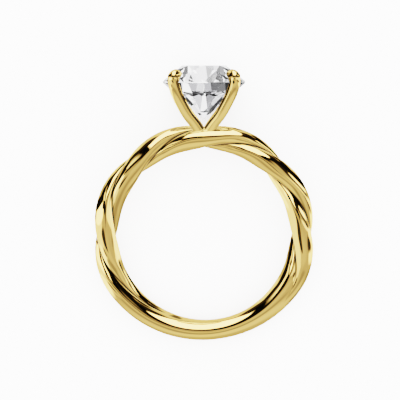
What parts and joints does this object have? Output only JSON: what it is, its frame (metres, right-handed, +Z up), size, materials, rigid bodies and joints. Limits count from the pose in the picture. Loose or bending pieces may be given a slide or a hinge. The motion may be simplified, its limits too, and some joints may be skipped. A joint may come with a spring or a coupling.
{
  "type": "solitaire ring",
  "caption": "Solitaire ring lying on its side: a round brilliant stone in a four-prong head on a shank of twisted strands that run into one plain band at the back.",
  "frame": {"origin": "centre of the bounding box's bottom, on the surface the ring lies on", "axes": "+Z up, within 7 degrees of the finger hole's axis; +Y from the back of the shank to the head and stone; +X completes the right-handed frame"},
  "size_m": [0.0218, 0.0276, 0.0082],
  "materials": {
    "gold": "high polish yellow gold, 18 carat",
    "diamond": "polished colourless diamond, faceted"
  },
  "bodies": {
    "root": {"shank_with_head": "gold", "round_stone": "diamond"}
  },
  "joints": []
}
